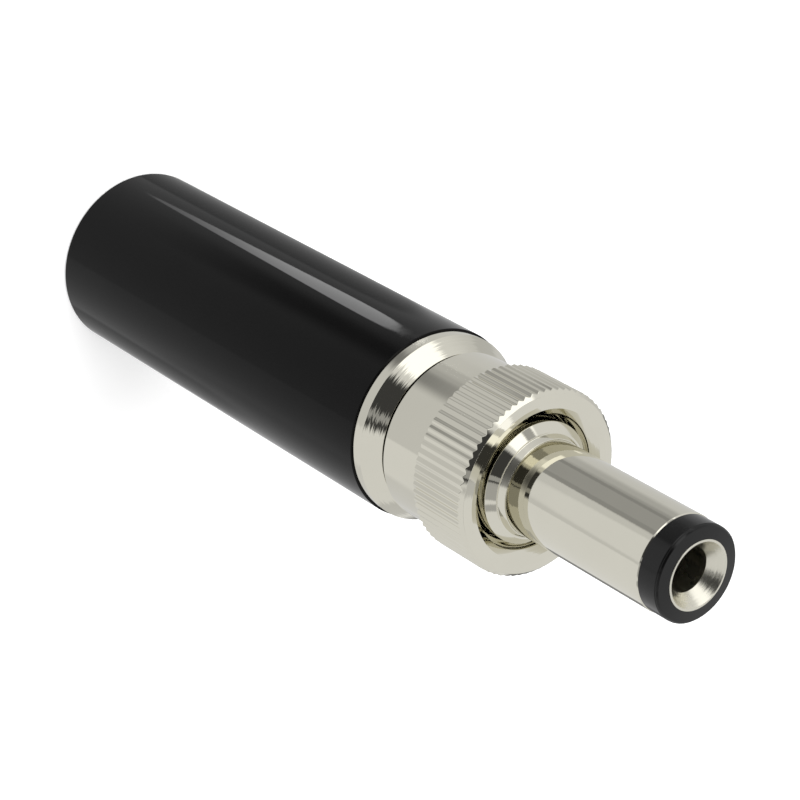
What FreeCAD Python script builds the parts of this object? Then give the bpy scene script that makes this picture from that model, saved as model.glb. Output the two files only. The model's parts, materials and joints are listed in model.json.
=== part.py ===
import FreeCAD, Part
import math
import os
import sys

import Sketcher
from FreeCAD import Vector

# Screw-locking barrel plug for low-voltage power leads.
# Millimetres. The axis of the plug is Z, the handle's rear face is at z = 0 and the tip is at the top.

SIZES = {
    # handle: moulded tube with a cable hole behind and a thread in front
    "handle_diameter": 11.1,
    "handle_length": 29.75,
    "handle_edge_bevel": 0.1,
    "handle_floor": 2.0,
    "cable_hole_diameter": 6.0,
    "cable_hole_flare": 0.4,
    "wire_room_diameter": 8.8,
    # screw joint between the handle and the plug body
    "body_thread_diameter": 9.1,
    "body_thread_length": 5.45,
    "body_thread_lead": 0.4,
    "body_relief_width": 0.7,
    "body_relief_depth": 0.35,
    "thread_clearance": 0.05,
    "handle_thread_runout": 0.3,
    # insulating liner, loose in the wire room
    "liner_wall": 0.25,
    "liner_clearance": 0.05,
    "liner_end_gap": 0.5,
    # plug body: the plated collar and the neck that carries the nut
    "collar_diameter": 10.9,
    "collar_band": 0.7,
    "collar_chamfer_length": 1.05,
    "collar_front_diameter": 9.5,
    "nut_seat_height": 0.2,
    "nut_seat_diameter": 7.6,
    "neck_diameter": 6.2,
    "neck_length": 4.5,
    # coupling nut
    "nut_length": 7.35,
    "nut_neck_diameter": 9.8,
    "nut_neck_length": 3.3,
    "nut_rear_bevel": 0.1,
    "knurl_diameter": 10.74,
    "knurl_length": 3.7,
    "knurl_depth": 0.13,
    "knurl_groove_angle": 100.0,
    "knurl_count": 72,
    "nut_rim_diameter": 10.26,
    "nut_lip_diameter": 9.3,
    "nut_lip_height": 0.1,
    "nut_mouth_diameter": 8.6,
    "nut_bore_diameter": 7.8,
    "nut_rear_lip": 0.4,
    "nut_rear_lip_clearance": 0.15,
    "nut_front_lip": 0.4,
    "nut_running_clearance": 0.05,
    # split ring that keeps the nut on the neck
    "split_ring_thickness": 0.4,
    "split_ring_diameter": 7.6,
    "split_ring_gap": 1.4,
    # retaining bush in front of the neck
    "bush_diameter": 7.0,
    "bush_land": 2.5,
    "bush_step_diameter": 6.1,
    "bush_step_length": 0.42,
    "bush_tip_diameter": 5.6,
    "bush_tip_length": 0.38,
    # barrel
    "barrel_diameter": 5.5,
    "barrel_wall": 0.35,
    "barrel_reach": 19.97,
    "barrel_edge_bevel": 0.06,
    "barrel_groove_width": 0.5,
    "barrel_groove_depth": 0.2,
    "barrel_groove_inset": 0.1,
    # black tip and the tube behind it
    "tip_land": 1.2,
    "tip_undersize": 0.04,
    "tip_crease_width": 0.1,
    "tip_crease_depth": 0.05,
    "tip_nose": 0.18,
    "tip_nose_bevel": 0.1,
    # centre contact
    "contact_bore_diameter": 2.5,
    "contact_mouth_diameter": 3.66,
    "contact_rim_diameter": 3.9,
    "contact_funnel_depth": 0.78,
    "contact_rim_height": 0.22,
    "contact_rim_stand": 0.03,
    "contact_shank_diameter": 3.0,
    "contact_socket_depth": 13.0,
    "contact_drill_depth": 0.6,
    "contact_rivet_diameter": 4.2,
    "contact_rivet_height": 0.35,
    # insulating bush and the two solder terminals behind the plug body
    "terminal_clearance": 0.1,
    "rear_bush_flange": 0.6,
    "rear_bush_spigot": 2.0,
    "sleeve_terminal_diameter": 7.8,
    "sleeve_terminal_thickness": 0.4,
    "centre_terminal_diameter": 5.4,
    "centre_terminal_thickness": 0.3,
    # solder tails and the cable clamp
    "sleeve_tail_width": 3.0,
    "clamp_inner_diameter": 6.3,
    "clamp_length": 3.6,
    "clamp_start": 5.2,
    "clamp_mouth_angle": 120.0,
    "centre_tail_width": 1.8,
    "centre_tail_length": 6.4,
    "centre_tail_offset": 2.2,
    "solder_eye_diameter": 0.9,
    "solder_eye_inset": 1.3,
}


class Dim:
    """A length with its present value and the expression that drives it."""

    def __init__(self, value, text):
        self.value = value
        self.text = text

    def joined(self, sign, other, value):
        text = other.text if isinstance(other, Dim) else repr(other)
        return Dim(value, "(%s %s %s)" % (self.text, sign, text))

    def __add__(self, other):
        return self.joined("+", other, self.value + number(other))

    def __sub__(self, other):
        return self.joined("-", other, self.value - number(other))

    def __mul__(self, other):
        return self.joined("*", other, self.value * number(other))

    def __truediv__(self, other):
        return self.joined("/", other, self.value / number(other))

    def __neg__(self):
        return Dim(-self.value, "(0 - %s)" % self.text)


def number(item):
    return item.value if isinstance(item, Dim) else item


def size(name):
    return Dim(SIZES[name], "Sizes." + name)


def radius(name):
    return size(name + "_diameter") / 2


def make_sheet(doc):
    sheet = doc.addObject("Spreadsheet::Sheet", "Sizes")
    for row, (name, value) in enumerate(SIZES.items(), start=1):
        sheet.set("A%d" % row, name.replace("_", " "))
        sheet.set("B%d" % row, str(value))
        sheet.setAlias("B%d" % row, name)
    return sheet


# Sketches

def origin_plane(body, role):
    return next(feature for feature in body.Origin.OriginFeatures if feature.Role == role)


def new_body(doc, name):
    body = doc.addObject("PartDesign::Body", name)
    body.Label = name
    return body


def new_sketch(body, name, plane="XZ_Plane", height=None):
    sketch = body.newObject("Sketcher::SketchObject", name)
    sketch.AttachmentSupport = [(origin_plane(body, plane), "")]
    sketch.MapMode = "FlatFace"
    if height is not None:
        sketch.setExpression("AttachmentOffset.Base.z", height.text)
    return sketch


def bind(feature, prop, dim):
    feature.setExpression(prop, dim.text)


def draw_outline(sketch, points):
    """Closed outline of straight sides through the points."""
    places = [Vector(number(across), number(up), 0) for across, up in points]
    ends = places[1:] + places[:1]
    for start, end in zip(places, ends):
        sketch.addGeometry(Part.LineSegment(start, end), False)
    for side, (across, up) in enumerate(points):
        following = (side + 1) % len(points)
        sketch.addConstraint(Sketcher.Constraint("Coincident", side, 2, following, 1))
        pin_end(sketch, side, 1, across, up)


def pin_end(sketch, item, end, across, up):
    """Tie one point of the sketch to two driven distances from its origin."""
    for kind, dim in (("DistanceX", across), ("DistanceY", up)):
        index = sketch.addConstraint(Sketcher.Constraint(kind, -1, 1, item, end, number(dim)))
        if isinstance(dim, Dim):
            bind(sketch, "Constraints[%d]" % index, dim)


def draw_circle(sketch, dim, centre=(0.0, 0.0)):
    across, up = centre
    place = Vector(number(across), number(up), 0)
    item = sketch.addGeometry(Part.Circle(place, Vector(0, 0, 1), dim.value), False)
    index = sketch.addConstraint(Sketcher.Constraint("Radius", item, dim.value))
    bind(sketch, "Constraints[%d]" % index, dim)
    if centre == (0.0, 0.0):
        sketch.addConstraint(Sketcher.Constraint("Coincident", item, 3, -1, 1))
    else:
        pin_end(sketch, item, 3, across, up)


# Features

def turned(body, name, points):
    """Turn a half section of (radius, height) points about the plug's axis."""
    sketch = new_sketch(body, name + "Section")
    draw_outline(sketch, points)
    feature = body.newObject("PartDesign::Revolution", name)
    feature.Profile = sketch
    feature.ReferenceAxis = (sketch, ["V_Axis"])
    feature.Angle = 360
    sketch.Visibility = False
    body.Document.recompute()
    return feature


def raised(body, name, sketch, length, cut=False):
    """Pad or pocket a sketch by a length along +Z."""
    kind = "PartDesign::Pocket" if cut else "PartDesign::Pad"
    feature = body.newObject(kind, name)
    feature.Profile = sketch
    feature.Reversed = cut
    bind(feature, "Length", length)
    sketch.Visibility = False
    body.Document.recompute()
    return feature


# Stations along the axis

COLLAR_REAR = size("handle_length")
COLLAR_BAND_FRONT = COLLAR_REAR + size("collar_band")
COLLAR_FRONT = COLLAR_BAND_FRONT + size("collar_chamfer_length")
NUT_REAR = COLLAR_FRONT + size("nut_seat_height")
NECK_FRONT = NUT_REAR + size("neck_length")
BODY_REAR = COLLAR_REAR - size("body_thread_length")
BUSH_LAND_FRONT = NECK_FRONT + size("bush_land")
BUSH_STEP = BUSH_LAND_FRONT + size("bush_step_length")
BUSH_FRONT = BUSH_STEP + size("bush_tip_length")
BARREL_FRONT = COLLAR_REAR + size("barrel_reach")
TIP_LAND_FRONT = BARREL_FRONT + size("tip_land")
TIP_NOSE_REAR = TIP_LAND_FRONT + size("tip_crease_width")
TIP_FRONT = TIP_NOSE_REAR + size("tip_nose")
TERMINAL_REAR = BODY_REAR - size("sleeve_terminal_thickness")
FLANGE_REAR = TERMINAL_REAR - size("rear_bush_flange")
CENTRE_REAR = FLANGE_REAR - size("centre_terminal_thickness")
SPIGOT_FRONT = BODY_REAR + size("rear_bush_spigot")
CONTACT_SEAT = TIP_FRONT - size("contact_rim_height")

AXIS = 0.0


def make_handle(doc):
    body = new_body(doc, "handle")
    outer = radius("handle")
    hole = radius("cable_hole")
    room = radius("wire_room")
    thread = radius("body_thread") + size("thread_clearance")
    floor = size("handle_floor")
    shoulder = BODY_REAR - size("handle_thread_runout")
    edge = size("handle_edge_bevel")
    turned(body, "HandleShell", [
        (hole + size("cable_hole_flare"), AXIS), (outer - edge, AXIS), (outer, edge),
        (outer, COLLAR_REAR), (thread, COLLAR_REAR),
        (thread, shoulder), (room, shoulder),
        (room, floor), (hole, floor), (hole, size("cable_hole_flare")),
    ])
    return body


def make_liner(doc):
    body = new_body(doc, "insulating_liner")
    outer = radius("wire_room") - size("liner_clearance")
    inner = outer - size("liner_wall")
    floor = size("handle_floor")
    top = BODY_REAR - size("liner_end_gap")
    turned(body, "LinerTube", [(inner, floor), (outer, floor), (outer, top), (inner, top)])
    return body


def make_plug_body(doc):
    body = new_body(doc, "plug_body")
    bore = radius("barrel")
    thread = radius("body_thread")
    lead = size("body_thread_lead")
    relief = thread - size("body_relief_depth")
    relief_rear = COLLAR_REAR - size("body_relief_width")
    turned(body, "BodyTurning", [
        (bore, BODY_REAR), (thread - lead, BODY_REAR), (thread, BODY_REAR + lead),
        (thread, relief_rear), (relief, relief_rear), (relief, COLLAR_REAR),
        (radius("collar"), COLLAR_REAR), (radius("collar"), COLLAR_BAND_FRONT),
        (radius("collar_front"), COLLAR_FRONT), (radius("nut_seat"), COLLAR_FRONT),
        (radius("nut_seat"), NUT_REAR), (radius("neck"), NUT_REAR),
        (radius("neck"), NECK_FRONT), (bore, NECK_FRONT),
    ])
    return body


def split_ring_rear():
    return NUT_REAR + size("nut_rear_lip") + size("nut_running_clearance")


def make_split_ring(doc):
    body = new_body(doc, "split_ring")
    inner = radius("neck") + size("nut_running_clearance")
    outer = radius("split_ring")
    rear = split_ring_rear()
    front = rear + size("split_ring_thickness")
    turned(body, "RingSection", [(inner, rear), (outer, rear), (outer, front), (inner, front)])
    gap = new_sketch(body, "RingGapOutline", "XY_Plane", rear)
    half = size("split_ring_gap") / 2
    draw_outline(gap, [(-half, AXIS), (half, AXIS), (half, outer * 2), (-half, outer * 2)])
    raised(body, "RingGap", gap, size("split_ring_thickness") * 2, cut=True)
    return body


def make_coupling_nut(doc):
    body = new_body(doc, "coupling_nut")
    clearance = size("nut_running_clearance")
    knurl = radius("knurl")
    neck = radius("nut_neck")
    bore = radius("nut_bore")
    mouth = radius("nut_mouth")
    rear_hole = radius("neck") + size("nut_rear_lip_clearance")
    front_hole = radius("bush") + clearance
    groove = radius("split_ring") + clearance
    lip_front = NUT_REAR + size("nut_rear_lip")
    groove_front = lip_front + size("split_ring_thickness") + clearance * 2
    bore_rear = groove_front + size("nut_front_lip")
    front = NUT_REAR + size("nut_length")
    knurl_rear = NUT_REAR + size("nut_neck_length")
    knurl_front = knurl_rear + size("knurl_length")
    edge = size("nut_rear_bevel")
    rim_front = front - size("nut_lip_height")
    turned(body, "NutTurning", [
        (rear_hole, NUT_REAR), (neck - edge, NUT_REAR), (neck, NUT_REAR + edge),
        (neck, knurl_rear), (knurl, knurl_rear), (knurl, knurl_front),
        (radius("nut_rim"), rim_front), (radius("nut_lip"), front), (mouth, rim_front),
        (bore, rim_front - (mouth - bore)),
        (bore, bore_rear), (front_hole, bore_rear), (front_hole, groove_front),
        (groove, groove_front), (groove, lip_front), (rear_hole, lip_front),
    ])
    make_knurl(body, knurl, knurl_rear, front)
    return body


def make_knurl(body, crest, rear, front):
    """Straight knurl: one V groove from the neck out through the front cone, repeated around."""
    root = crest - size("knurl_depth")
    over = size("knurl_depth") / 2
    half_width = (size("knurl_depth") + over) * tangent_of_half("knurl_groove_angle")
    sketch = new_sketch(body, "KnurlGrooveOutline", "XY_Plane", rear)
    draw_outline(sketch, [(AXIS, root), (half_width, crest + over), (-half_width, crest + over)])
    tool = raised(body, "KnurlGroove", sketch, front - rear, cut=True)
    pattern = body.newObject("PartDesign::PolarPattern", "Knurl")
    pattern.Originals = [tool]
    pattern.Axis = (origin_plane(body, "Z_Axis"), [""])
    pattern.Angle = 360
    pattern.setExpression("Occurrences", size("knurl_count").text)
    body.Tip = pattern
    body.Document.recompute()


def tangent_of_half(name):
    """Tangent of half an angle kept in degrees."""
    return Dim(math.tan(math.radians(SIZES[name] / 2)), "tan(%s / 2 * 1 deg)" % size(name).text)


def make_retaining_bush(doc):
    body = new_body(doc, "retaining_bush")
    bore = radius("barrel")
    land = radius("bush")
    step = radius("bush_step")
    turned(body, "BushTurning", [
        (bore, NECK_FRONT), (land, NECK_FRONT), (land, BUSH_LAND_FRONT),
        (step, BUSH_STEP), (radius("bush_tip"), BUSH_FRONT), (bore, BUSH_FRONT),
    ])
    return body


def make_barrel(doc):
    """Plain tube, with a groove inside the bush that is crimped onto it."""
    body = new_body(doc, "barrel")
    outer = radius("barrel")
    inner = outer - size("barrel_wall")
    edge = size("barrel_edge_bevel")
    groove = outer - size("barrel_groove_depth")
    groove_front = BUSH_FRONT - size("barrel_groove_inset")
    groove_rear = groove_front - size("barrel_groove_width")
    turned(body, "BarrelTube", [
        (inner, BODY_REAR), (outer, BODY_REAR), (outer, groove_rear), (groove, groove_rear),
        (groove, groove_front), (outer, groove_front), (outer, BARREL_FRONT - edge),
        (outer - edge, BARREL_FRONT), (inner, BARREL_FRONT),
    ])
    return body


def make_tip(doc):
    body = new_body(doc, "tip_insulator")
    outer = radius("barrel") - size("tip_undersize")
    tube = radius("barrel") - size("barrel_wall")
    crease = outer - size("tip_crease_depth")
    bevel = size("tip_nose_bevel")
    rim = radius("contact_rim")
    shank = radius("contact_shank")
    turned(body, "TipTurning", [
        (shank, SPIGOT_FRONT), (tube, SPIGOT_FRONT), (tube, BARREL_FRONT),
        (outer, BARREL_FRONT), (outer, TIP_LAND_FRONT),
        (crease, TIP_LAND_FRONT + size("tip_crease_width") / 2), (outer, TIP_NOSE_REAR),
        (outer - bevel, TIP_NOSE_REAR + bevel), (rim, TIP_FRONT), (rim, CONTACT_SEAT),
        (shank, CONTACT_SEAT - (rim - shank)),
    ])
    return body


def make_contact(doc):
    body = new_body(doc, "centre_contact")
    shank = radius("contact_shank")
    rim = radius("contact_rim")
    bore = radius("contact_bore")
    rivet = radius("contact_rivet")
    rear = CENTRE_REAR - size("contact_rivet_height")
    front = TIP_FRONT + size("contact_rim_stand")
    throat = front - size("contact_funnel_depth")
    bottom = throat - size("contact_socket_depth")
    turned(body, "ContactTurning", [
        (AXIS, rear), (rivet, rear), (rivet, CENTRE_REAR), (shank, CENTRE_REAR),
        (shank, CONTACT_SEAT - (rim - shank)), (rim, CONTACT_SEAT), (rim, front),
        (radius("contact_mouth"), front), (bore, throat), (bore, bottom),
        (AXIS, bottom - size("contact_drill_depth")),
    ])
    return body


def make_rear_bush(doc):
    body = new_body(doc, "rear_bush")
    hole = radius("contact_shank")
    spigot = radius("barrel") - size("barrel_wall")
    flange = radius("clamp_inner") - size("terminal_clearance")
    turned(body, "RearBushTurning", [
        (hole, FLANGE_REAR), (flange, FLANGE_REAR), (flange, TERMINAL_REAR),
        (spigot, TERMINAL_REAR), (spigot, SPIGOT_FRONT), (hole, SPIGOT_FRONT),
    ])
    return body


def make_sleeve_terminal(doc):
    """Stamped earth terminal: a ring under the plug body, a tail and a cable clamp."""
    body = new_body(doc, "sleeve_terminal")
    sheet = size("sleeve_terminal_thickness")
    hole = radius("barrel") - size("barrel_wall")
    turned(body, "TerminalRing", [
        (hole, TERMINAL_REAR), (radius("sleeve_terminal"), TERMINAL_REAR),
        (radius("sleeve_terminal"), BODY_REAR), (hole, BODY_REAR),
    ])
    inner = radius("clamp_inner")
    start = size("clamp_start")
    tail = new_sketch(body, "TailOutline", "XY_Plane", start)
    half = size("sleeve_tail_width") / 2
    draw_outline(tail, [(-half, inner), (half, inner), (half, inner + sheet), (-half, inner + sheet)])
    raised(body, "Tail", tail, BODY_REAR - start)
    clamp = new_sketch(body, "ClampOutline", "XY_Plane", start)
    draw_circle(clamp, inner)
    draw_circle(clamp, inner + sheet)
    raised(body, "Clamp", clamp, size("clamp_length"))
    mouth = new_sketch(body, "ClampMouthOutline", "XY_Plane", start)
    reach = inner * 2
    spread = reach * tangent_of_half("clamp_mouth_angle")
    draw_outline(mouth, [(AXIS, AXIS), (-spread, -reach), (spread, -reach)])
    raised(body, "ClampMouth", mouth, size("clamp_length"), cut=True)
    return body


def make_centre_terminal(doc):
    """Stamped centre terminal: a ring held by the contact's rivet and a tail with a solder eye."""
    body = new_body(doc, "centre_terminal")
    turned(body, "CentreRing", [
        (radius("contact_shank"), CENTRE_REAR), (radius("centre_terminal"), CENTRE_REAR),
        (radius("centre_terminal"), FLANGE_REAR), (radius("contact_shank"), FLANGE_REAR),
    ])
    rear = FLANGE_REAR - size("centre_tail_length")
    tail = new_sketch(body, "CentreTailOutline", "XY_Plane", rear)
    half = size("centre_tail_width") / 2
    near = -size("centre_tail_offset")
    far = near - size("centre_terminal_thickness")
    draw_outline(tail, [(-half, far), (half, far), (half, near), (-half, near)])
    raised(body, "CentreTail", tail, size("centre_tail_length"))
    eye = new_sketch(body, "SolderEyeOutline")
    draw_circle(eye, radius("solder_eye"), (AXIS, rear + size("solder_eye_inset")))
    hole = body.newObject("PartDesign::Pocket", "SolderEye")
    hole.Profile = eye
    hole.Type = "ThroughAll"
    hole.Midplane = True
    doc.recompute()
    return body


BUILDERS = [
    make_handle,
    make_liner,
    make_plug_body,
    make_split_ring,
    make_coupling_nut,
    make_retaining_bush,
    make_barrel,
    make_tip,
    make_contact,
    make_rear_bush,
    make_sleeve_terminal,
    make_centre_terminal,
]


def check(doc):
    """Stop on any failed object or broken shape."""
    for item in doc.Objects:
        if "Invalid" in item.State or "Error" in item.State:
            sys.exit("failed: %s %s" % (item.Name, item.State))


def write_parts(bodies):
    os.makedirs("parts", exist_ok=True)
    for body in bodies:
        shape = body.Shape
        if shape.isNull() or not shape.isValid():
            sys.exit("broken shape: " + body.Label)
        shape.exportStep("parts/%s.step" % body.Label)
        print("%-18s %9.2f mm3 %4d faces" % (body.Label, shape.Volume, len(shape.Faces)))


def main():
    doc = FreeCAD.newDocument("LockingBarrelPlug")
    make_sheet(doc)
    doc.recompute()
    bodies = [build(doc) for build in BUILDERS]
    doc.recompute()
    check(doc)
    write_parts(bodies)


main()
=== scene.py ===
# Screw-locking barrel plug, dressed for the photograph's view.
# Metres and radians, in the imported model's frame: the plug stands on its handle, axis along Z.
import json
import math

import bpy
import numpy as np
from mathutils import Matrix, Vector

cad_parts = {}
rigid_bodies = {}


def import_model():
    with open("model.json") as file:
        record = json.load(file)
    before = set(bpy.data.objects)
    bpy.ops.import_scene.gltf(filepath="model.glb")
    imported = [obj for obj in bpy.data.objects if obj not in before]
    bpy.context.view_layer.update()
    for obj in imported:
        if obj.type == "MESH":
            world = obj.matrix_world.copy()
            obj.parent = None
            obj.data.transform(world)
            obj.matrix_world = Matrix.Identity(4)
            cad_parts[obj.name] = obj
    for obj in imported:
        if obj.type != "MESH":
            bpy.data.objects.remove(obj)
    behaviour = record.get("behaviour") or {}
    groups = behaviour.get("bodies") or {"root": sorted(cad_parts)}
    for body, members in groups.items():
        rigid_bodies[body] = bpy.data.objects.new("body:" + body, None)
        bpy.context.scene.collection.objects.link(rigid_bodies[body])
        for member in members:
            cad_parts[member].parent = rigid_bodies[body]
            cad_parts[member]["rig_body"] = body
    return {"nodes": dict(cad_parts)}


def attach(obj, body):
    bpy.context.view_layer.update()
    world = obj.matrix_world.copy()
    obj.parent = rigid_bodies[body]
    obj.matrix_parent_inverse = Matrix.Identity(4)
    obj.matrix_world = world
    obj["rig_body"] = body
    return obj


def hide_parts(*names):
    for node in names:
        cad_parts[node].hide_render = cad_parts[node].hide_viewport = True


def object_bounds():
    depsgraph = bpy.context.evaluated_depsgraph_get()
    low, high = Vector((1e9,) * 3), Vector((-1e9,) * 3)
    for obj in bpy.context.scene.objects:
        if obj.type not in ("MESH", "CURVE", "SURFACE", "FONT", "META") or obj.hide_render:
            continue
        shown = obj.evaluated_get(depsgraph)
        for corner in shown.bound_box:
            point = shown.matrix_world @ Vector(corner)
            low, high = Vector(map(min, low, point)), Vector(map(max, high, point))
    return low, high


MM = 0.001
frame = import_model()
CAD_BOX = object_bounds()

# The photograph: the plug is seen from its tip, and its axis runs to the lower right.
# The axis's slope in the picture and its lean from the line of sight are in degrees.
PHOTO_WIDTH = 800
FOCAL_PX = 2700
AXIS_SLOPE = 29.55
AXIS_TO_SIGHT = 44.5
REAR_CENTRE_PX = (140.35, 257.7)
REAR_PX_PER_MM = 15.828
SENSOR_MM = 36.0
CLIP = (0.01, 10)

# Knurl, cut into the nut's outer band
KNURL_COUNT = 72
KNURL_DEPTH = 0.095 * MM
KNURL_SAMPLES = 12
KNURL_SPACING = 0.03 * MM
CREST_AZIMUTH = math.pi / KNURL_COUNT
RIDGE_SHARPNESS = 0.93

# Threads, cut into the walls at these radii
THREAD_PITCH = 0.75 * MM
THREAD_DEPTH = 0.3 * MM
THREAD_RUNOUT = THREAD_PITCH * 0.7
THREAD_RINGS = 14
SHORTEST_THREAD = THREAD_PITCH * 3
HANDLE_WALL = 4.6 * MM
BODY_WALL = 4.55 * MM
NUT_WALL = 3.9 * MM
WALL_TOLERANCE = 0.03 * MM

# Corners are eased to these radii, but use no more than a share of their shorter side
EDGE = 0.05 * MM
FINE_EDGE = 0.03 * MM
EDGE_SHARE = 0.45
EDGE_STEP_DEGREES = 18
PLAIN_SEGMENTS = 256

# Ledge on the front of the bush: the corner it starts from, and its width
BUSH_LEDGE = ((3.05 * MM, 39.12 * MM), 0.08 * MM)

# Outline points nearer than NEAR are one point, and one within FLAT of a straight side is no corner.
# The cutting plane is moved off the vertices by a shift, and keeps what lies beyond AXIS_GAP.
NEAR = 2e-6
FLAT = 1e-6
PLANE_SHIFT = 1e-7
AXIS_GAP = 1e-5
SECTION_DECIMALS = 8


# Turned shapes

def half_section(node, azimuth=0.0):
    """The node's outline in the half plane at an azimuth, as ordered (radius, height) points."""
    mesh = frame["nodes"][node].data
    mesh.calc_loop_triangles()
    places = np.zeros(len(mesh.vertices) * 3)
    mesh.vertices.foreach_get("co", places)
    places = places.reshape(-1, 3)
    faces = np.zeros(len(mesh.loop_triangles) * 3, int)
    mesh.loop_triangles.foreach_get("vertices", faces)
    across = places[:, 0] * math.cos(azimuth) + places[:, 1] * math.sin(azimuth)
    aside = places[:, 1] * math.cos(azimuth) - places[:, 0] * math.sin(azimuth) + PLANE_SHIFT
    links = {}
    for face in faces.reshape(-1, 3):
        ends = []
        for one, two in ((face[0], face[1]), (face[1], face[2]), (face[2], face[0])):
            if (aside[one] > 0) == (aside[two] > 0):
                continue
            # One order of the two ends, so that both faces on an edge give the same point
            if tuple(places[one]) > tuple(places[two]):
                one, two = two, one
            share = aside[one] / (aside[one] - aside[two])
            radius = across[one] + share * (across[two] - across[one])
            height = places[one, 2] + share * (places[two, 2] - places[one, 2])
            ends.append((round(float(radius), SECTION_DECIMALS), round(float(height), SECTION_DECIMALS)))
        if len(ends) == 2 and ends[0] != ends[1] and min(ends)[0] > AXIS_GAP:
            links.setdefault(ends[0], []).append(ends[1])
            links.setdefault(ends[1], []).append(ends[0])
    return walked(links)


def walked(links):
    """One loop or path through the linked points, anticlockwise, and whether it is closed."""
    loose = [point for point, others in links.items() if len(set(others)) == 1]
    here = min(loose) if loose else min(links)
    path = [here]
    left = set(links) - {here}
    while True:
        onward = [point for point in links[here] if point in left]
        if not onward:
            break
        here = onward[0]
        left.discard(here)
        path.append(here)
    points = np.array(path)
    after = np.roll(points, -1, axis=0)
    area = (points[:, 0] * after[:, 1] - after[:, 0] * points[:, 1]).sum()
    if area < 0:
        points = points[::-1]
    return straightened(points, closed=not loose), not loose


def straightened(points, closed):
    """Merge points that all but coincide, then drop those on the line between their neighbours."""
    merged = [points[0]]
    for point in points[1:]:
        if np.linalg.norm(point - merged[-1]) > NEAR:
            merged.append(point)
    if closed and np.linalg.norm(merged[-1] - merged[0]) < NEAR:
        merged.pop()
    kept = []
    last = len(merged) - 1
    for index, point in enumerate(merged):
        before = kept[-1] if kept else merged[-1]
        after = merged[(index + 1) % len(merged)]
        side = after - before
        off = side[0] * (point - before)[1] - side[1] * (point - before)[0]
        at_end = not closed and index in (0, last)
        if at_end or abs(off) > FLAT * np.linalg.norm(side):
            kept.append(point)
    return np.array(kept)


def eased(points, closed, radius):
    """Round each corner to the radius, or as far as its two sides allow."""
    result = []
    last = len(points) - 1
    for index, here in enumerate(points):
        if not closed and index in (0, last):
            result.append(here)
            continue
        back = points[index - 1] - here
        onward = points[(index + 1) % len(points)] - here
        room = min(np.linalg.norm(back), np.linalg.norm(onward))
        back = back / np.linalg.norm(back)
        onward = onward / np.linalg.norm(onward)
        turn = math.acos(max(-1.0, min(1.0, -float(back @ onward))))
        reach = min(radius * math.tan(turn / 2), room * EDGE_SHARE)
        steps = 1 + math.ceil(math.degrees(turn) / EDGE_STEP_DEGREES)
        for step in range(steps + 1):
            share = step / steps
            corner = here * 2 * share * (1 - share)
            result.append((here + back * reach) * (1 - share) ** 2 + corner
                          + (here + onward * reach) * share ** 2)
    return np.array(result)


def with_ledge(points, corner, width):
    """Cut a narrow ledge, square to the axis, inwards from the corner nearest to a place."""
    index = int(np.argmin(np.linalg.norm(points - np.array(corner), axis=1)))
    return np.insert(points, index + 1, points[index] - np.array([width, 0]), axis=0)


def divided(points, spacing):
    """The same path with points no further apart than the spacing."""
    result = [points[0]]
    for start, end in zip(points[:-1], points[1:]):
        count = max(1, math.ceil(np.linalg.norm(end - start) / spacing))
        result += [start + (end - start) * step / count for step in range(1, count + 1)]
    return np.array(result)


def runs_of(points, closed, kind_of):
    """Cut the outline into runs of sides of one kind: [(kind, points)]."""
    sides = [(points[index], points[index + 1]) for index in range(len(points) - 1)]
    if closed:
        sides.append((points[-1], points[0]))
    kinds = [kind_of(start, end) for start, end in sides]
    first = 0
    if closed and len(set(kinds)) > 1:
        first = next(index for index in range(len(kinds)) if kinds[index] != kinds[index - 1])
    runs = []
    for index in range(len(sides)):
        start, end = sides[(first + index) % len(sides)]
        kind = kinds[(first + index) % len(sides)]
        if runs and runs[-1][0] == kind:
            runs[-1][1].append(end)
        else:
            runs.append((kind, [start, end]))
    return [(kind, np.array(run)) for kind, run in runs]


def turned_grid(points, segments, carve):
    """Places and outward normals of a path turned about Z, with its radius changed by carve."""
    angle = np.arange(segments) * 2 * math.pi / segments
    height = np.repeat(points[:, 1:2], segments, axis=1)
    radius = np.repeat(points[:, 0:1], segments, axis=1)
    if carve:
        radius = carve(np.repeat(angle[None], len(points), axis=0), radius, height)
    places = np.stack([radius * np.cos(angle), radius * np.sin(angle), height], axis=2)
    around = np.roll(places, -1, axis=1) - np.roll(places, 1, axis=1)
    if len(points) > 2:
        along = np.gradient(places, axis=0)
    else:
        along = np.broadcast_to(places[1] - places[0], places.shape)
    normals = np.cross(around, along)
    length = np.linalg.norm(normals, axis=2, keepdims=True)
    return places, normals / np.maximum(length, 1e-15)


def turned_mesh(name, strips):
    """One mesh of several turned strips, each (points, segments, carve)."""
    verts, normals, faces = [], [], []
    offset = 0
    for points, segments, carve in strips:
        places, outward = turned_grid(points, segments, carve)
        rows = len(points)
        index = offset + np.arange(rows * segments).reshape(rows, segments)
        onward = np.roll(index, -1, axis=1)
        quads = np.stack([index[:-1], onward[:-1], onward[1:], index[1:]], axis=2)
        verts.append(places.reshape(-1, 3))
        normals.append(outward.reshape(-1, 3))
        faces.append(quads.reshape(-1, 4))
        offset += rows * segments
    mesh = bpy.data.meshes.new(name)
    mesh.from_pydata(np.concatenate(verts).tolist(), [], np.concatenate(faces).tolist())
    mesh.shade_smooth()
    mesh.normals_split_custom_set_from_vertices(np.concatenate(normals).tolist())
    return mesh


def new_object(name, data):
    """A new object in the scene."""
    thing = bpy.data.objects.new(name, data)
    bpy.context.scene.collection.objects.link(thing)
    return thing


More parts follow.
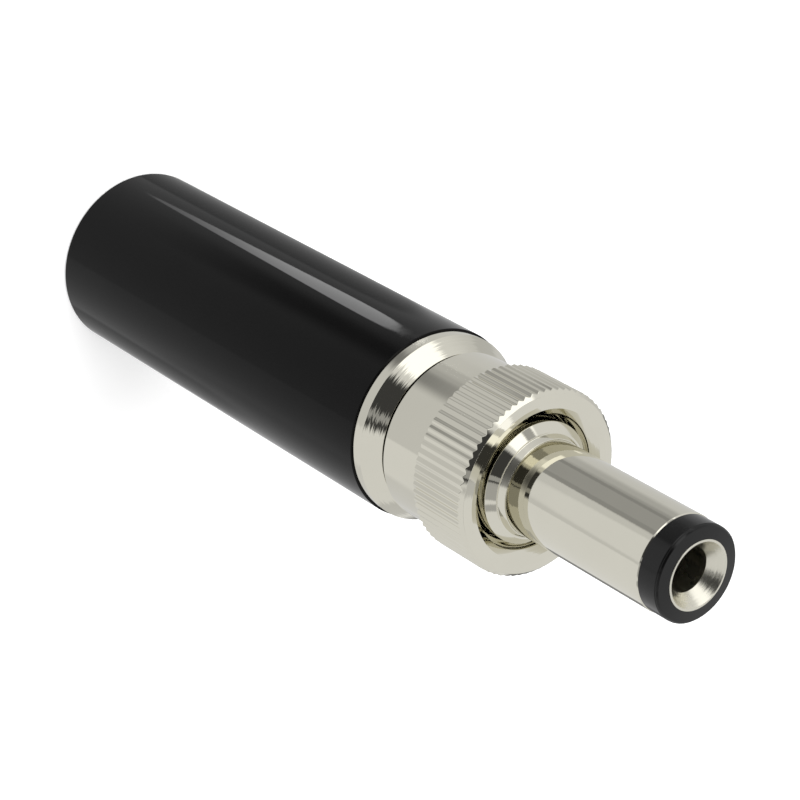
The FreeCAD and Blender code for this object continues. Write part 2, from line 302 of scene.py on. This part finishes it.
def dress_turned(node, material, edge, cut=None, azimuth=0.0, ledges=()):
    """Show a finely turned piece in place of a node, from its own outline with the edges eased."""
    points, closed = half_section(node, azimuth)
    for corner, width in ledges:
        points = with_ledge(points, corner, width)
    points = eased(points, closed, edge)
    if cut:
        strips = cut(points, closed)
    else:
        path = np.vstack([points, points[:1]]) if closed else points
        strips = [(path, PLAIN_SEGMENTS, None)]
    mesh = turned_mesh(node + "_turned", strips)
    piece = new_object(node + "_turned", mesh)
    mesh.materials.append(material)
    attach(piece, frame["nodes"][node]["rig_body"])
    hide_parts(node)


# Knurl and thread forms

def ridge(phase):
    """Rounded V profile: 1 on the crest at whole phases, 0 in the root between them."""
    swing = np.arcsin(RIDGE_SHARPNESS * np.cos(2 * math.pi * phase))
    return 0.5 + swing / (2 * math.asin(RIDGE_SHARPNESS))


def thread_carver(start, end):
    """Right-hand thread between two heights, running out at both ends."""
    def carve(angle, radius, height):
        phase = height / THREAD_PITCH - angle / (2 * math.pi)
        room = np.clip(np.minimum(height - start, end - height) / THREAD_RUNOUT, 0, 1)
        cut = 1 - ridge(phase)
        return radius - THREAD_DEPTH * cut * room

    return carve


def kind_by_wall(start, end, wall):
    """A side is thread if it is long and lies on the wall, and else plain."""
    on_wall = abs(start[0] - wall) < WALL_TOLERANCE and abs(end[0] - wall) < WALL_TOLERANCE
    return "thread" if on_wall and abs(end[1] - start[1]) > SHORTEST_THREAD else "plain"


def thread_or_plain_strip(kind, run):
    """The strip of one run, with the thread cut into it or left plain."""
    if kind == "plain":
        return run, PLAIN_SEGMENTS, None
    low, high = sorted((run[0][1], run[-1][1]))
    return divided(run, THREAD_PITCH / THREAD_RINGS), PLAIN_SEGMENTS, thread_carver(low, high)


def threaded(wall):
    """Cutter for an outline whose one long wall at a radius carries the thread."""
    def cut(points, closed):
        runs = runs_of(points, closed, lambda start, end: kind_by_wall(start, end, wall))
        return [thread_or_plain_strip(kind, run) for kind, run in runs]

    return cut


def knurl_path(run):
    """The band's outline, with its slopes finely divided so that the grooves run out on them."""
    path = [run[:1]]
    for start, end in zip(run[:-1], run[1:]):
        side = np.array([start, end])
        level = abs(end[0] - start[0]) < FLAT
        path.append((side if level else divided(side, KNURL_SPACING))[1:])
    return np.vstack(path)


def knurled_and_threaded(points, closed):
    """Cutter for the coupling nut: knurled band outside, thread inside."""
    root = points[:, 0].max() - KNURL_DEPTH

    def kind_of(start, end):
        return "knurl" if max(start[0], end[0]) > root else kind_by_wall(start, end, NUT_WALL)

    def carve_knurl(angle, radius, height):
        phase = (angle - CREST_AZIMUTH) * KNURL_COUNT / (2 * math.pi)
        return np.minimum(radius, root + KNURL_DEPTH * ridge(phase))

    strips = []
    for kind, run in runs_of(points, closed, kind_of):
        if kind == "knurl":
            strips.append((knurl_path(run), KNURL_COUNT * KNURL_SAMPLES, carve_knurl))
        else:
            strips.append(thread_or_plain_strip(kind, run))
    return strips


# Materials

# Noise between these values spreads over the whole range of a gloss
NOISE_SPAN = (0.3, 0.7)


class Tree:
    """Short calls for building a node tree. An input takes a number, a colour or a node's output."""

    def __init__(self, tree):
        self.tree = tree

    def fill(self, node, inputs):
        """Set or link a node's inputs, given by name or number."""
        for name, value in inputs.items():
            if isinstance(value, bpy.types.NodeSocket):
                self.tree.links.new(value, node.inputs[name])
            else:
                node.inputs[name].default_value = value

    def add(self, kind, inputs=None, **settings):
        node = self.tree.nodes.new(kind)
        for name, setting in settings.items():
            setattr(node, name, setting)
        self.fill(node, inputs or {})
        return node

    def math(self, operation, *values):
        return self.add("ShaderNodeMath", dict(enumerate(values)), operation=operation).outputs[0]

    def linear(self, value, low, high, to_low, to_high, kind="LINEAR"):
        """The range from low to high mapped onto another, and held beyond its ends."""
        inputs = {"Value": value, "From Min": low, "From Max": high, "To Min": to_low, "To Max": to_high}
        return self.add("ShaderNodeMapRange", inputs, interpolation_type=kind).outputs["Result"]

    def smooth(self, value, low, high, to_low=0.0, to_high=1.0):
        """The same with a soft start and end."""
        return self.linear(value, low, high, to_low, to_high, "SMOOTHSTEP")

    def uneven(self, noise, value, least, most):
        """A value that varies with the noise between two shares of itself."""
        return self.linear(noise, *NOISE_SPAN, value * least, value * most)

    def noise(self, vector, scale, detail=2.0, rough=0.5):
        inputs = {"Vector": vector, "Scale": scale, "Detail": detail, "Roughness": rough}
        return self.add("ShaderNodeTexNoise", inputs).outputs["Fac"]

    def ramp(self, value, low, high):
        """Colour between two tones."""
        inputs = {"Factor": value, "A": (*low, 1), "B": (*high, 1)}
        return self.add("ShaderNodeMix", inputs, data_type="RGBA").outputs["Result"]

    def bump(self, height, strength, distance, under=None):
        inputs = {"Height": height, "Strength": strength, "Distance": distance}
        if under is not None:
            inputs["Normal"] = under
        return self.add("ShaderNodeBump", inputs).outputs["Normal"]


def new_material(name):
    """A material, its tree, its shader and the place on the piece."""
    material = bpy.data.materials.new(name)
    material.use_nodes = True
    material.node_tree.nodes.clear()
    tree = Tree(material.node_tree)
    shader = tree.add("ShaderNodeBsdfPrincipled")
    tree.add("ShaderNodeOutputMaterial", {"Surface": shader.outputs["BSDF"]})
    place_of = tree.add("ShaderNodeTexCoord").outputs["Object"]
    return material, tree, shader, place_of


def turning_coordinate(tree, place_of):
    """Coordinate that is the same all round the axis: (radius, 0, height)."""
    parts = tree.add("ShaderNodeSeparateXYZ", {0: place_of}).outputs
    squares = [tree.math("POWER", parts[axis], 2.0) for axis in "XY"]
    radius = tree.math("SQRT", tree.math("ADD", *squares))
    return tree.add("ShaderNodeCombineXYZ", {"X": radius, "Z": parts["Z"]}).outputs[0]


def streaked_normal(tree, lines_at, lean):
    """Surface normal that leans a little to either side along the turning lines, line by line."""
    lines = tree.noise(lines_at, scale=19000, detail=3.0, rough=0.65)
    along = tree.add("ShaderNodeTangent", direction_type="RADIAL", axis="Z").outputs["Tangent"]
    amount = tree.linear(lines, 0.25, 0.75, -lean, lean)
    aside = tree.add("ShaderNodeVectorMath", {0: along, "Scale": amount}, operation="SCALE")
    normal = tree.add("ShaderNodeNewGeometry").outputs["Normal"]
    leaning = tree.add("ShaderNodeVectorMath", {0: normal, 1: aside.outputs[0]}, operation="ADD")
    unit = tree.add("ShaderNodeVectorMath", {0: leaning.outputs[0]}, operation="NORMALIZE")
    return unit.outputs[0]


def turned_metal(name, tones, roughness, line_depth, lean):
    """Plated turning: fine lines round the axis, a faint mottle and uneven gloss."""
    material, tree, shader, place_of = new_material(name)
    lines_at = turning_coordinate(tree, place_of)
    coarse = tree.noise(lines_at, scale=5200, detail=1.0)
    mottle = tree.noise(place_of, scale=420, detail=3.0)
    grain = tree.noise(place_of, scale=9000)
    streaks = streaked_normal(tree, lines_at, lean)
    fine = tree.bump(grain, strength=0.25, distance=line_depth * 0.5, under=streaks)
    tree.fill(shader, {
        "Base Color": tree.ramp(mottle, *tones),
        "Roughness": tree.uneven(mottle, roughness, least=0.8, most=1.25),
        "Metallic": 1.0,
        "Normal": tree.bump(coarse, strength=0.6, distance=line_depth, under=fine),
    })
    return material


def moulded_plastic(name, tones, roughness, specular, peel):
    """Moulded plastic: slight waviness of the skin, uneven gloss and a faint tone change."""
    material, tree, shader, place_of = new_material(name)
    cloud = tree.noise(place_of, scale=260, detail=3.0)
    skin = tree.noise(place_of, scale=1500, detail=2.5, rough=0.55)
    tree.fill(shader, {
        "Base Color": tree.ramp(cloud, *tones),
        "Roughness": tree.uneven(skin, roughness, least=0.8, most=1.3),
        "Specular IOR Level": specular,
        "Normal": tree.bump(skin, strength=0.5, distance=peel),
    })
    return material


def stamped_metal(name, tones, roughness):
    """Stamped strip: rolling lines along the strip, tin spangle and uneven gloss."""
    material, tree, shader, place_of = new_material(name)
    stretch = tree.add("ShaderNodeMapping", {"Vector": place_of, "Scale": (6.0, 6.0, 0.5)})
    rolling = tree.noise(stretch.outputs[0], scale=1400, detail=3.0)
    spangle = tree.noise(place_of, scale=700)
    tree.fill(shader, {
        "Base Color": tree.ramp(spangle, *tones),
        "Roughness": tree.uneven(rolling, roughness, least=0.7, most=1.3),
        "Metallic": 1.0,
        "Normal": tree.bump(rolling, strength=0.4, distance=4e-6),
    })
    return material


NICKEL_TONES = (0.725, 0.705, 0.615), (0.765, 0.745, 0.65)
SPRING_TONES = (0.42, 0.42, 0.43), (0.50, 0.50, 0.50)
HANDLE_TONES = (0.0018, 0.0018, 0.0019), (0.0035, 0.0034, 0.0033)
TIP_TONES = (0.0015, 0.0015, 0.0015), (0.004, 0.004, 0.004)
LINER_TONES = (0.72, 0.69, 0.58), (0.82, 0.80, 0.70)
TIN_TONES = (0.62, 0.61, 0.57), (0.75, 0.74, 0.70)

TURNED_NICKEL = turned_metal("turned_nickel", NICKEL_TONES, roughness=0.05, line_depth=1.0e-6, lean=0.075)
NICKEL = turned_metal("nickel_plate", NICKEL_TONES, roughness=0.03, line_depth=0.4e-6, lean=0.012)
CONTACT_NICKEL = turned_metal("contact_nickel", NICKEL_TONES, roughness=0.24, line_depth=1.5e-6, lean=0.09)
SPRING = turned_metal("spring_steel", SPRING_TONES, roughness=0.3, line_depth=2.5e-6, lean=0.03)
HANDLE_BLACK = moulded_plastic("handle_black", HANDLE_TONES, roughness=0.035, specular=0.13, peel=0.5e-6)
TIP_BLACK = moulded_plastic("tip_black", TIP_TONES, roughness=0.15, specular=0.36, peel=1e-6)
LINER = moulded_plastic("liner_natural", LINER_TONES, roughness=0.45, specular=0.4, peel=3e-6)
TIN = stamped_metal("tin_plate", TIN_TONES, roughness=0.35)


# Pieces

dress_turned("handle", HANDLE_BLACK, EDGE, threaded(HANDLE_WALL))
dress_turned("plug_body", TURNED_NICKEL, EDGE, threaded(BODY_WALL))
dress_turned("coupling_nut", NICKEL, FINE_EDGE, knurled_and_threaded, CREST_AZIMUTH)
dress_turned("retaining_bush", NICKEL, EDGE, ledges=(BUSH_LEDGE,))
dress_turned("barrel", NICKEL, FINE_EDGE)
dress_turned("tip_insulator", TIP_BLACK, FINE_EDGE)
dress_turned("centre_contact", CONTACT_NICKEL, FINE_EDGE)

for node, material in (("insulating_liner", LINER), ("split_ring", SPRING), ("rear_bush", TIP_BLACK),
                       ("sleeve_terminal", TIN), ("centre_terminal", TIN)):
    piece = frame["nodes"][node]
    piece.data.materials.clear()
    piece.data.materials.append(material)


# Studio: what the gloss shows, by direction. Azimuth 0 is the camera's side, and 90 is towards +X.

STUDIO_LEVEL = 0.66
STUDIO_UPPER_LEVEL = 0.81
HORIZON_BLEND = (-8, 8)
# (azimuth, elevation, slant, half width, half height, softness, brightness), later on top.
# Angles are in degrees, and the slant is degrees of azimuth for each degree of elevation.
STUDIO_ZONES = (
    (97, 0, 0, 54, 75, 0.05, 0.80),
    (72, 47, 0, 28, 8.5, 0.15, 0.44),
    (90, 36, 0, 11, 5, 0.4, 0.44),
    (125, -47, 0, 30, 3.5, 0.3, 0.69),
    (140, -52, 0, 24, 3.8, 0.3, 0.48),
    (160, -37, 0, 12, 6, 0.4, 0.25),
    (133, -16, 0, 12, 9.5, 0.4, 0.62),
    (-130, -15, 0, 13, 8.5, 0.4, 0.56),
    (163, -14, 0, 9, 16, 0.4, 0.20),
    (-165, -14, 0, 8, 16, 0.4, 0.25),
    (12, -20, 0, 31, 23, 0.1, 0.78),
    (-140, -50.1, 0, 34, 4.1, 0.15, 0.38),
    (-92, -38, 0, 14, 5, 1.2, 0.48),
    (-57, -32, 0, 31, 11.5, 0.25, 0.37),
    (-75, -40, 0, 4, 3.5, 0.6, 0.29),
    (-33, -40, 0, 5, 3.5, 0.6, 0.31),
    (-72, -44.8, 0, 9, 1.6, 0.6, 0.53),
    (-49, -47, 0, 13, 3.2, 1.6, 0.22),
    (-60.7, 38, -0.08, 24.5, 33, 0.25, 1.5),
    (-84, 42, 0, 18, 7.5, 0.3, 0.44),
    (-163.5, 64.2, 0, 4.5, 2.2, 0.5, 1.3),
    (-176, 67, 0, 7, 2, 0.5, 0.20),
    (165, 64.5, 0, 14, 3, 0.4, 0.58),
    (172, 66.5, 0, 9, 2.3, 0.5, 0.40),
)
# Dark gap between the two soft boxes: a wedge in direction components, widest near the horizon.
# Its sides fade over shares of its half width, and its foot and top over components Z and Y.
GAP_LEVEL = 0.05
GAP_APEX = 0.70
GAP_SPREAD = 0.312
GAP_LEAN = 0.078
GAP_SIDES = (0.85, 1.15)
GAP_FOOT = (0.0, 0.12)
GAP_TOP = (-0.30, -0.15)
GAP_LEAST_HALF = 0.001
# Grey bar inside the gap, given like a zone
BAR = (28, 35, 0.4, 5, 22, 0.5, 0.37)
# Light along the handle: azimuth, elevation, half height, half width there, its growth, brightness.
# It brightens upwards, from a share at its foot to the whole at an offset in degrees from its middle.
STRIP = (-84, -49.2, 2.95, 7.0, 1.6, 5.0)
STRIP_SOFTNESS = 0.06
STRIP_FOOT_SHARE = 0.25
STRIP_WHOLE_AT = 1.0
# What rays other than the gloss's see: the rest of the light, and the camera's background
PLAIN_LEVEL = 0.44
WHITE_LEVEL = 1.0


def rounded_box(tree, offsets, halves, softness):
    """1 inside a rounded rectangle about the offsets' zero, falling to 0 over its soft edge."""
    sides = []
    for off, half in zip(offsets, halves):
        share = tree.math("ABSOLUTE", tree.math("DIVIDE", off, half))
        sides.append(tree.math("POWER", share, 4.0))
    reach = tree.math("POWER", tree.math("ADD", *sides), 0.25)
    return tree.smooth(reach, 1 - softness / 2, 1 + softness / 2, 1.0, 0.0)


def zone_mask(tree, azimuth, elevation, zone):
    """1 inside a zone, and 0 outside it."""
    centre_az, centre_el, slant, half_az, half_el, softness, _ = zone
    rise = tree.math("SUBTRACT", elevation, centre_el)
    middle = tree.math("MULTIPLY_ADD", rise, slant, centre_az)
    aside = tree.math("SUBTRACT", azimuth, middle)
    return rounded_box(tree, (aside, rise), (half_az, half_el), softness)


def strip_mask(tree, azimuth, elevation):
    """The light along the handle, which widens and brightens upwards."""
    centre_az, centre_el, half_el, half_az, growth, _ = STRIP
    rise = tree.math("SUBTRACT", elevation, centre_el)
    width = tree.math("MULTIPLY_ADD", rise, growth, half_az)
    aside = tree.math("SUBTRACT", azimuth, centre_az)
    shape = rounded_box(tree, (aside, rise), (width, half_el), STRIP_SOFTNESS)
    fade = tree.smooth(rise, -half_el, STRIP_WHOLE_AT, STRIP_FOOT_SHARE, 1.0)
    return tree.math("MULTIPLY", shape, fade)


def gap_mask(tree, direction):
    """1 in the wedge that is wide towards the camera's side and ends below the zenith."""
    ahead = tree.math("SUBTRACT", GAP_APEX, direction["Y"])
    aside = tree.math("SUBTRACT", direction["X"], tree.math("MULTIPLY", ahead, GAP_LEAN))
    half = tree.math("MAXIMUM", tree.math("MULTIPLY", ahead, GAP_SPREAD), GAP_LEAST_HALF)
    share = tree.math("DIVIDE", tree.math("ABSOLUTE", aside), half)
    above = tree.smooth(direction["Z"], *GAP_FOOT)
    below = tree.smooth(direction["Y"], *GAP_TOP, 1.0, 0.0)
    mask = tree.math("MULTIPLY", tree.smooth(share, *GAP_SIDES, 1.0, 0.0), above)
    return tree.math("MULTIPLY", mask, below)


def studio_level(tree, direction):
    """Brightness that the gloss shows in a direction, each layer over the ones before it."""
    degrees = 180 / math.pi
    behind = tree.math("MULTIPLY", direction["Y"], -1.0)
    azimuth = tree.math("MULTIPLY", tree.math("ARCTAN2", direction["X"], behind), degrees)
    elevation = tree.math("MULTIPLY", tree.math("ARCSINE", direction["Z"]), degrees)
    layers = [(tree.smooth(elevation, *HORIZON_BLEND), STUDIO_UPPER_LEVEL)]
    layers += [(zone_mask(tree, azimuth, elevation, zone), zone[-1]) for zone in STUDIO_ZONES]
    layers.append((gap_mask(tree, direction), GAP_LEVEL))
    layers.append((zone_mask(tree, azimuth, elevation, BAR), BAR[-1]))
    layers.append((strip_mask(tree, azimuth, elevation), STRIP[-1]))
    level = STUDIO_LEVEL
    for mask, brightness in layers:
        level = tree.add("ShaderNodeMix", {"Factor": mask, "A": level, "B": brightness}).outputs["Result"]
    return level


def make_world():
    """The studio for the gloss, an even level for the rest of the light, and white for the camera."""
    world = bpy.data.worlds.new("studio")
    world.use_nodes = True
    world.node_tree.nodes.clear()
    tree = Tree(world.node_tree)
    looking = tree.add("ShaderNodeTexCoord").outputs["Generated"]
    direction = tree.add("ShaderNodeSeparateXYZ", {0: looking}).outputs
    gloss, plain, white = [
        tree.add("ShaderNodeBackground", {"Color": (1, 1, 1, 1), "Strength": level}).outputs[0]
        for level in (studio_level(tree, direction), PLAIN_LEVEL, WHITE_LEVEL)]
    rays = tree.add("ShaderNodeLightPath").outputs
    by_gloss = tree.add("ShaderNodeMixShader", {0: rays["Is Glossy Ray"], 1: plain, 2: gloss})
    seen = tree.math("MAXIMUM", rays["Is Camera Ray"], rays["Is Transmission Ray"])
    by_camera = tree.add("ShaderNodeMixShader", {0: seen, 1: by_gloss.outputs[0], 2: white})
    tree.add("ShaderNodeOutputWorld", {"Surface": by_camera.outputs[0]})
    bpy.context.scene.world = world


# Floor: its half width, its tones, and its glow for the camera, which grows from a share near the plug
# to the whole over these distances from the axis's foot
FLOOR_HALF = 1.5
FLOOR_TONES = (0.79, 0.79, 0.79), (0.81, 0.81, 0.81)
GLOW_NEAR = 0.35
GLOW_REACH = (0.06, 0.35)


def make_floor():
    """White floor that keeps the plug's shadow, and that its glow brings up to plain white."""
    mesh = bpy.data.meshes.new("floor")
    sides = ((-1, -1), (1, -1), (1, 1), (-1, 1))
    mesh.from_pydata([(x * FLOOR_HALF, y * FLOOR_HALF, 0) for x, y in sides], [], [(0, 1, 2, 3)])
    floor = new_object("floor", mesh)
    material, tree, shader, place_of = new_material("floor_white")
    paper = tree.noise(place_of, scale=60)
    seen = tree.add("ShaderNodeLightPath").outputs["Is Camera Ray"]
    away = tree.add("ShaderNodeVectorMath", {0: place_of}, operation="LENGTH").outputs["Value"]
    tree.fill(shader, {
        "Base Color": tree.ramp(paper, *FLOOR_TONES),
        "Roughness": 1.0,
        "Specular IOR Level": 0.0,
        "Emission Color": (1, 1, 1, 1),
        "Emission Strength": tree.math("MULTIPLY", seen, tree.smooth(away, *GLOW_REACH, GLOW_NEAR, 1.0)),
    })
    mesh.materials.append(material)
    floor.visible_glossy = False


# Soft lamps: name, azimuth and elevation in degrees, and power in watts
LAMPS = (("key", -55, 62, 3.0), ("fill", 110, 55, 1.5))
LAMP_DISTANCE = 0.6
LAMP_SIZE = 0.5


def add_lamp(name, azimuth, elevation, power):
    """Large soft lamp aimed at the middle of the plug."""
    data = bpy.data.lights.new(name, "AREA")
    data.shape = "DISK"
    data.size = LAMP_SIZE
    data.energy = power
    lamp = new_object(name, data)
    turn, rise = math.radians(azimuth), math.radians(elevation)
    towards = Vector((math.sin(turn) * math.cos(rise), -math.cos(turn) * math.cos(rise), math.sin(rise)))
    aim = (CAD_BOX[0] + CAD_BOX[1]) / 2
    lamp.location = aim + towards * LAMP_DISTANCE
    lamp.rotation_mode = "QUATERNION"
    lamp.rotation_quaternion = towards.to_track_quat("Z", "Y")
    lamp.visible_glossy = False
    lamp.visible_camera = False


def make_camera():
    """Pinhole fitted to the photograph's rings, given by the axis's slope, tilt and rear centre."""
    slope, tilt = math.radians(AXIS_SLOPE), math.radians(AXIS_TO_SIGHT)
    axis = Vector((math.sin(tilt) * math.cos(slope), -math.sin(tilt) * math.sin(slope), math.cos(tilt)))
    sight = Vector((0, 0, 1))
    away = -(sight - axis * sight.dot(axis)).normalized()
    turn = Matrix((away.cross(axis), away, axis))
    depth = FOCAL_PX / REAR_PX_PER_MM * MM
    across, down = [(place - PHOTO_WIDTH / 2) / FOCAL_PX for place in REAR_CENTRE_PX]
    rear = Vector((across, -down, -1))
    data = bpy.data.cameras.new("camera")
    data.sensor_width = SENSOR_MM
    data.lens = FOCAL_PX / PHOTO_WIDTH * SENSOR_MM
    data.clip_start, data.clip_end = CLIP
    camera = new_object("camera", data)
    camera.matrix_world = Matrix.Translation(turn @ (-rear * depth)) @ turn.to_4x4()
    bpy.context.scene.camera = camera


make_world()
make_floor()
for lamp in LAMPS:
    add_lamp(*lamp)
make_camera()
bpy.context.scene.view_settings.view_transform = "Standard"
